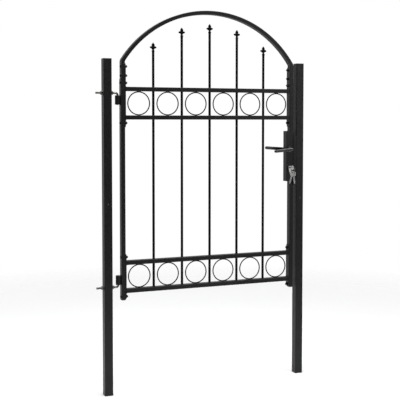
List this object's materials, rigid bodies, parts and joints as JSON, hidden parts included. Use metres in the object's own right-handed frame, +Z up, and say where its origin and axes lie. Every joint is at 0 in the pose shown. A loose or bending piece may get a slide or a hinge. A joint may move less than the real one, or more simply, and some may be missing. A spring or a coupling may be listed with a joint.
{
  "type": "garden gate",
  "caption": "Single arched garden gate in black tube, hung on hook hinges between square posts, with finial bars, ring bands, levers, latch, key lock and keys.",
  "frame": {"origin": "centre of the hinge post's foot", "axes": "+X from the hinge post to the lock post, +Y to the rear side that the leaf opens towards, +Z up"},
  "size_m": [1.084, 0.1296, 1.827],
  "materials": {
    "black_powder_coat": "satin black powder coat with a fine orange peel",
    "black_fasteners": "black, semi gloss",
    "black_plastic": "moulded, fine matt texture",
    "zinc": "bright zinc plate, slightly yellow",
    "lock_steel": "plain ground steel",
    "lever_metal": "satin chrome over a cast lever",
    "nickel": "nickel plate with fine handling scratches"
  },
  "bodies": {
    "root": {"hinge_post": "black_powder_coat", "lock_post": "black_powder_coat", "post_caps": "black_plastic", "upper_hinge_hook": "zinc", "lower_hinge_hook": "zinc", "hook_nuts": "zinc", "hook_washers": "zinc", "keep": "black_powder_coat", "keep_screws": "zinc", "post_screw": "zinc"},
    "leaf": {"arch": "black_powder_coat", "bar_1": "black_powder_coat", "bar_2": "black_powder_coat", "bar_3": "black_powder_coat", "bar_4": "black_powder_coat", "bar_5": "black_powder_coat", "bottom_rail": "black_powder_coat", "cylinder_body": "nickel", "cylinder_screw": "lock_steel", "finial_1": "black_powder_coat", "finial_2": "black_powder_coat", "finial_3": "black_powder_coat", "finial_4": "black_powder_coat", "finial_5": "black_powder_coat", "forend_plate": "lock_steel", "forend_screws": "lock_steel", "front_rose": "lever_metal", "hinge_stile": "black_powder_coat", "lock_box": "black_powder_coat", "lock_case": "lock_steel", "lower_band_rail": "black_powder_coat", "lower_barrel": "black_powder_coat", "lower_end_plates": "black_powder_coat", "lower_lock_stile": "black_powder_coat", "lower_rings": "black_powder_coat", "plate_bolts": "black_fasteners", "plate_nuts": "black_fasteners", "rear_plug": "nickel", "rear_rose": "lever_metal", "return_spring": "lock_steel", "stile_plugs": "black_plastic", "top_rail": "black_powder_coat", "upper_band_rail": "black_powder_coat", "upper_barrel": "black_powder_coat", "upper_end_plates": "black_powder_coat", "upper_lock_stile": "black_powder_coat", "upper_rings": "black_powder_coat"},
    "handle": {"front_lever": "lever_metal", "rear_lever": "lever_metal", "spindle": "lock_steel", "follower": "lock_steel", "grub_screws": "lock_steel"},
    "latch_bolt": {"latch_bolt": "lock_steel"},
    "dead_bolt": {"dead_bolt": "lock_steel"},
    "key": {"front_plug": "nickel", "lock_cam": "lock_steel", "door_key": "nickel"},
    "key_bunch": {"key_ring": "nickel", "spare_keys": "nickel"}
  },
  "joints": [
    {"name": "leaf_swing", "type": "hinge", "parent": "root", "child": "leaf", "pos_m": [0.053, 0, 1], "axis": [0, 0, 1], "range_deg": [0, 105]},
    {"name": "handle_turn", "type": "hinge", "parent": "leaf", "child": "handle", "pos_m": [0.95, 0, 1.151], "axis": [0, -1, 0], "range_deg": [0, 40], "stiffness_Nm_per_rad": 0.8, "springref_deg": -28.65},
    {"name": "latch_slide", "type": "slide", "parent": "leaf", "child": "latch_bolt", "axis": [-1, 0, 0], "range_m": [0, 0.0129]},
    {"name": "key_turn", "type": "hinge", "parent": "leaf", "child": "key", "pos_m": [0.95, 0, 1.059], "axis": [0, 1, 0], "range_deg": [0, 60.1]},
    {"name": "dead_bolt_slide", "type": "slide", "parent": "leaf", "child": "dead_bolt", "axis": [1, 0, 0], "range_m": [0, 0.014]},
    {"name": "bunch_swing", "type": "hinge", "parent": "key", "child": "key_bunch", "pos_m": [0.95, -0.058, 1.0582], "axis": [0, 1, 0], "range_deg": [-48, 20]}
  ],
  "couplings": [
    {"joint": "latch_slide", "follows": "handle_turn", "m_per_rad": 0.01842},
    {"joint": "key_turn", "follows": "dead_bolt_slide", "rad_per_m": 74.8}
  ]
}
